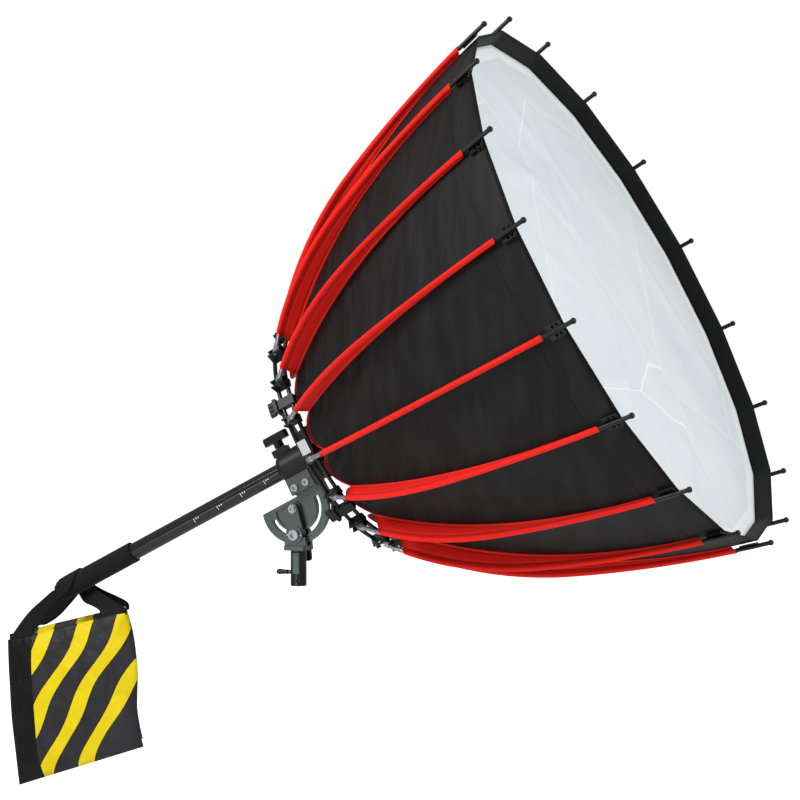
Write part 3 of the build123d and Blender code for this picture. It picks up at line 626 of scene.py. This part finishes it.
def build_sleeve(number):
    """The sleeve of one rib: a channel round the rod, a web, and a seam on the shell."""
    angle = number * STEP
    sideways = at(0, 0, 0) - at(1, 0, angle + 90)
    rib_from, rib_to = SLEEVE_FROM.get(number, SLEEVE_START), RIB.long - CAP_LONG - 1.0
    shell_to = SHELL.length_at(RIB.point(rib_to)[1] - 3)
    points, which = [], []
    for station in range(SLEEVE_STATIONS):
        share = station / (SLEEVE_STATIONS - 1)
        rod = at(*RIB.point(rib_from + (rib_to - rib_from) * share), angle)
        base = at(*SHELL.point(shell_to * share), angle)
        towards = base - rod
        width = towards.length + 0.9
        towards.normalize()
        fold = 0.5 + 0.9 * noise.noise(Vector((number * 3.1, share * 4.0, 5.2)))
        section = sleeve_section(width, fold)
        sag = noise.noise(Vector((number * 7.3, share * 5.0, 0.4))) * 3.4
        ring = []
        for side in (1, -1):
            line = section if side == 1 else list(reversed(section))
            for off, half in line:
                lean = sag * max(0.0, math.sin(math.pi * max(0.0, off) / width)) * math.sin(math.pi * share)
                ring.append(rod + towards * off + sideways * (side * half + lean))
        points.extend(ring)
    across = 2 * len(section)
    faces = grid_faces(SLEEVE_STATIONS, across, True)
    strips = STRIP_LOOKS + [3] + list(reversed(STRIP_LOOKS)) + [0]
    which = [strips[index % across] for index in range(len(faces))]
    faces.append(tuple(range(across)))
    faces.append(tuple(reversed(range((SLEEVE_STATIONS - 1) * across, SLEEVE_STATIONS * across))))
    which += [1, 1]
    name = f"sleeve_{number + 1:02d}"
    return mesh(name, points, faces, SLEEVE_LOOKS, BODIES[number], which)


sleeves = [build_sleeve(number) for number in range(RIBS)]
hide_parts("rib_sleeves")


# ---- counterweight bag ---------------------------------------------------------------------------
TOP_REAR, TOP_FRONT = Vector((-511.0, 0, -104.0)), Vector((-291.0, 0, -49.0))
LOW_FRONT, LOW_REAR = Vector((-260.0, 0, -270.0)), Vector((-490.0, 0, -346.0))
WEBBING_SHARE = 0.21  # share of a pouch's width that the webbing covers
POUCH_MIDDLE = 39.75
POUCH_EDGE, POUCH_FILLED, POUCH_LUMP = 1.2, 14.5, 4.0  # half thickness of edge, filling and lumps


def pouch_point(across, down):
    """Point on a pouch's middle plane."""
    top = TOP_REAR.lerp(TOP_FRONT, across)
    low = LOW_REAR.lerp(LOW_FRONT, across)
    return top.lerp(low, down)


def build_pouch(name, node, side, shift):
    """One filled side of the bag: two bulging faces joined along their rim."""
    columns, rows = 44, 44
    points, coordinates = [], []
    for face in (1, -1):
        for row in range(rows + 1):
            for column in range(columns + 1):
                across, down = column / columns, row / rows
                place = pouch_point(across, down)
                edge = min(across, 1 - across, down * 0.9, (1 - down) * 1.2) * 2
                full = min(1.0, max(0.0, edge * 1.9 - 0.05)) ** 0.55
                lump = noise.noise(place * 0.016 + Vector((0, side * 9, face * 4)))
                half = POUCH_EDGE + POUCH_FILLED * full * (0.82 + 0.3 * down) + POUCH_LUMP * lump * full
                pull = noise.noise(Vector((across * 4, down * 4, side * 3))) * 2.0 * full
                depth = -side * POUCH_MIDDLE + pull - face * half
                bulge = across * 8 * math.sin(math.tau * down / 1.25) * (1 - down ** 4)
                bulge -= (1 - across) * 4 * math.sin(math.pi * down)
                wander = bulge + noise.noise(Vector((down * 3.0, across * 3.0, 7.0 + side))) * 1.8
                points.append(place + Vector((shift + wander, depth, wander * 0.2)))
                coordinates.append(((across - WEBBING_SHARE) / (1 - WEBBING_SHARE), down))
    size = (rows + 1) * (columns + 1)
    front = grid_faces(rows + 1, columns + 1)
    faces = [tuple(reversed(quad)) for quad in front]
    faces += [tuple(index + size for index in quad) for quad in front]
    rim = list(range(columns + 1))
    rim += [row * (columns + 1) + columns for row in range(1, rows + 1)]
    rim += [rows * (columns + 1) + column for column in range(columns - 1, -1, -1)]
    rim += [row * (columns + 1) for row in range(rows - 1, 0, -1)]
    for index, first in enumerate(rim):
        second = rim[(index + 1) % len(rim)]
        faces.append((first, second, second + size, first + size))
    piece = mesh(name, points, faces, ["bag_grey"], "sandbag", None, coordinates)
    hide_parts(node)


FAR_SHIFT = -41.0
build_pouch("pouch_near", "near_pouch", 1, 0.0)
build_pouch("pouch_far", "far_pouch", -1, FAR_SHIFT)


# webbing, in millimetres: from the bag round the tube's foam grip; the strips ride on no body
GRIP_OUT = 18.9  # webbing lying on the foam grip


def around_grip(depth, angle, out=GRIP_OUT):
    """Point of the webbing round the foam grip."""
    return at(out, depth, angle)


def level(x, y, z):
    """Point in the row's own axes, in millimetres."""
    return Vector((x, y, z))


def ribbon(name, stations, thickness=1.5):
    """A webbing strip through pairs of edge points, smoothed between them."""
    points = []
    steps, across = 8, 6
    for index in range(len(stations) - 1):
        before = stations[max(0, index - 1)]
        first, second = stations[index], stations[index + 1]
        after = stations[min(len(stations) - 1, index + 2)]
        last = index == len(stations) - 2
        for step in range(steps + (1 if last else 0)):
            part = step / steps
            edges = []
            for side in (0, 1):
                p0, p1, p2, p3 = before[side], first[side], second[side], after[side]
                edges.append(0.5 * (
                    2 * p1 + (p2 - p0) * part + (2 * p0 - 5 * p1 + 4 * p2 - p3) * part ** 2
                    + (3 * p1 - p0 - 3 * p2 + p3) * part ** 3
                ))
            for column in range(across + 1):
                points.append(edges[0].lerp(edges[1], column / across))
    rows = len(points) // (across + 1)
    piece = mesh(name, points, grid_faces(rows, across + 1), ["strap_black"], None)
    thicken(piece, thickness, offset=0.0)
    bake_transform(piece)
    return piece


rear_strap = ribbon("strap_rear", [
    (level(-510, -41, -112), level(-463, -41, -100)),
    (level(-507, -40, -101), level(-461, -40, -87)),
    (level(-476, -38, -60), level(-450, -38, -74)),
    (level(-448, -34, -34), level(-437, -34, -54)),
    (level(-433, -27, -20), level(-424, -28, -39)),
    (around_grip(-572, 88, 21.5), around_grip(-560, 112, 23)),
    (around_grip(-574, 45, 19.3), around_grip(-540, 70, 19.3)),
    (around_grip(-574, 0), around_grip(-532, 10)),
    (around_grip(-574, -45), around_grip(-534, -50)),
    (around_grip(-574, -95, 20.5), around_grip(-540, -100, 20.5)),
    (level(-478, 32, -48), level(-446, 32, -62)),
    (level(-512, 38, -74), level(-480, 39, -84)),
    (level(-543, 40, -101), level(-497, 40, -87)),
    (level(-546, 41, -112), level(-499, 41, -100)),
])
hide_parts("hang_straps")
ribbon("strap_front", [
    (level(-290, -41, -54), level(-352, -41, -74)),
    (level(-292, -39, -44), level(-345, -39, -64)),
    (level(-323, -26, -32), level(-338, -32, -56)),
    (level(-360, -2, -22), level(-362, -8, -48)),
    (level(-380, 14, -15), level(-392, 6, -41)),
    (around_grip(-536, 262, 20.7), around_grip(-566, 250, 22)),
    (around_grip(-536, 310, 20.7), around_grip(-570, 305, 20.7)),
    (around_grip(-534, 350, 20.7), around_grip(-570, 350, 20.7)),
])
ribbon("strap_front_far", [
    (level(-326, 41, -54), level(-388, 41, -74)),
    (level(-330, 38, -40), level(-380, 38, -58)),
    (level(-372, 29, -20), level(-402, 29, -42)),
    (around_grip(-540, 266, 22.6), around_grip(-566, 258, 24)),
    (around_grip(-540, 300, 22.6), around_grip(-568, 300, 22.6)),
])

# ---- scale marks on the tube ---------------------------------------------------------------------
MARK_DEPTHS = (-160.0, -207.0, -254.0, -301.0)
MARK_OUT, MARK_FROM = 14.12, 96  # just outside the tube; angle where every tick starts
TICKS = ((0, 28.6, 1.2), (4, 11.0, 1.8), (8, 11.0, 1.8))  # (depth, degrees round, width) of a mark's ticks


def build_marks():
    """Scale ticks on the tube's viewer side, without numbers."""
    points, faces = [], []
    for depth in MARK_DEPTHS:
        for start, turned, wide in TICKS:
            first = len(points)
            for step in range(5):
                angle = MARK_FROM + turned * step / 4
                for edge in (0, wide):
                    points.append(at(MARK_OUT, depth + start + edge, angle))
            for step in range(4):
                base = first + 2 * step
                faces.append((base, base + 1, base + 3, base + 2))
    mesh("tube_marks", points, faces, ["mark_white"], "boom")


build_marks()

# ---- finish of the CAD nodes ---------------------------------------------------------------------
LOOK_OF = {row["node"]: row["material_slot"] for row in frame["record"]["subparts"]}
LOOK_OF["hoop_splice"] = "splice_steel"
LOOK_OF["receiver_lock_screw"] = "knob_black"
SHARP_ANGLE = math.radians(32)


def in_receiver_window(polygon):
    """Whether a face is the grey floor of the recess in the stand receiver's viewer side."""
    x, y, z = polygon.center / MM
    return -12.2 < y < -11.4 and abs(x) < 8 and 20 < z < 54 and abs(polygon.normal.y) > 0.9


for name, node in frame["nodes"].items():
    slot = LOOK_OF[name]
    node.data.materials.clear()
    node.data.materials.append(LOOKS[slot])
    if slot == "rib_steel":
        node.data.materials.append(LOOKS["knob_black"])
        for polygon in node.data.polygons:
            polygon.material_index = int(depth_of(polygon.center / MM) > CAP_DEPTH)
    elif name == "stand_receiver":
        node.data.materials[0] = LOOKS["tube_black"]
        node.data.materials.append(LOOKS["bracket_grey"])
        for polygon in node.data.polygons:
            polygon.material_index = int(in_receiver_window(polygon))
    else:
        node.data.polygons.foreach_set("material_index", [0] * len(node.data.polygons))
    node.data.polygons.foreach_set("use_smooth", [True] * len(node.data.polygons))
    node.data.set_sharp_from_angle(angle=SHARP_ANGLE)

# ---- camera, light and floor ---------------------------------------------------------------------
CAMERA_PLACE = (1.74514, -4.07654, 0.40491)
CAMERA_LOOK = (-0.359185, 0.932969, -0.023560)
LENS, SENSOR = 123.49, 36.0
WORLD_UNSEEN, WORLD_SEEN = 0.4, 1.0  # strength for bounced rays and for the camera
FLOOR_HALF, FLOOR_HEIGHT = 30, -1.35

camera_data = bpy.data.cameras.new("camera")
camera_data.lens = LENS
camera_data.sensor_width = SENSOR
camera = bpy.data.objects.new("camera", camera_data)
bpy.context.scene.collection.objects.link(camera)
look = Vector(CAMERA_LOOK).normalized()
right = look.cross(Vector((0, 0, 1))).normalized()
up = right.cross(look)
camera.matrix_world = Matrix.Translation(CAMERA_PLACE) @ Matrix(
    ((right.x, up.x, -look.x), (right.y, up.y, -look.y), (right.z, up.z, -look.z))
).to_4x4()
camera_data.clip_end = 50
bpy.context.scene.camera = camera

world = bpy.data.worlds.new("studio")
world.use_nodes = True
background = world.node_tree.nodes["Background"]
background.inputs[0].default_value = (1, 1, 1, 1)
seen = world.node_tree.nodes.new("ShaderNodeLightPath")
strength = world.node_tree.nodes.new("ShaderNodeMapRange")
strength.inputs["To Min"].default_value = WORLD_UNSEEN
strength.inputs["To Max"].default_value = WORLD_SEEN
world.node_tree.links.new(seen.outputs["Is Camera Ray"], strength.inputs["Value"])
world.node_tree.links.new(strength.outputs[0], background.inputs[1])
bpy.context.scene.world = world
bpy.context.scene.view_settings.view_transform = "Standard"


def light(name, place, target, size, power):
    """A rectangular lamp at place that faces target; power in watts."""
    data = bpy.data.lights.new(name, "AREA")
    data.shape = "RECTANGLE"
    data.size, data.size_y = size
    data.energy = power
    made = bpy.data.objects.new(name, data)
    bpy.context.scene.collection.objects.link(made)
    made.location = place
    made.rotation_mode = "QUATERNION"
    made.rotation_quaternion = (Vector(target) - Vector(place)).to_track_quat("-Z", "Y")


light("key", (-1.6, -2.6, 2.2), (0.1, 0, 0.2), (1.4, 1.4), 100)
light("side", (2.9, -0.7, 1.3), (0.3, 0, 0.3), (1.0, 2.0), 58)
light("low", (-0.6, -2.8, -0.5), (0.1, 0, 0.1), (1.6, 0.5), 8)

floor_data = bpy.data.meshes.new("floor")
corners = [(x * FLOOR_HALF, y * FLOOR_HALF, 0) for x, y in ((-1, -1), (1, -1), (1, 1), (-1, 1))]
floor_data.from_pydata(corners, [], [(0, 1, 2, 3)])
pale = Shader("floor_white", (0.9, 0.9, 0.9), 0.9)
pale.surface.inputs["Emission Color"].default_value = (1, 1, 1, 1)
seen = pale.add("ShaderNodeLightPath")
pale.join(seen.outputs["Is Camera Ray"], pale.surface.inputs["Emission Strength"])
floor_data.materials.append(pale.material)
floor = bpy.data.objects.new("floor", floor_data)
floor.location = (0, 0, FLOOR_HEIGHT)
bpy.context.scene.collection.objects.link(floor)
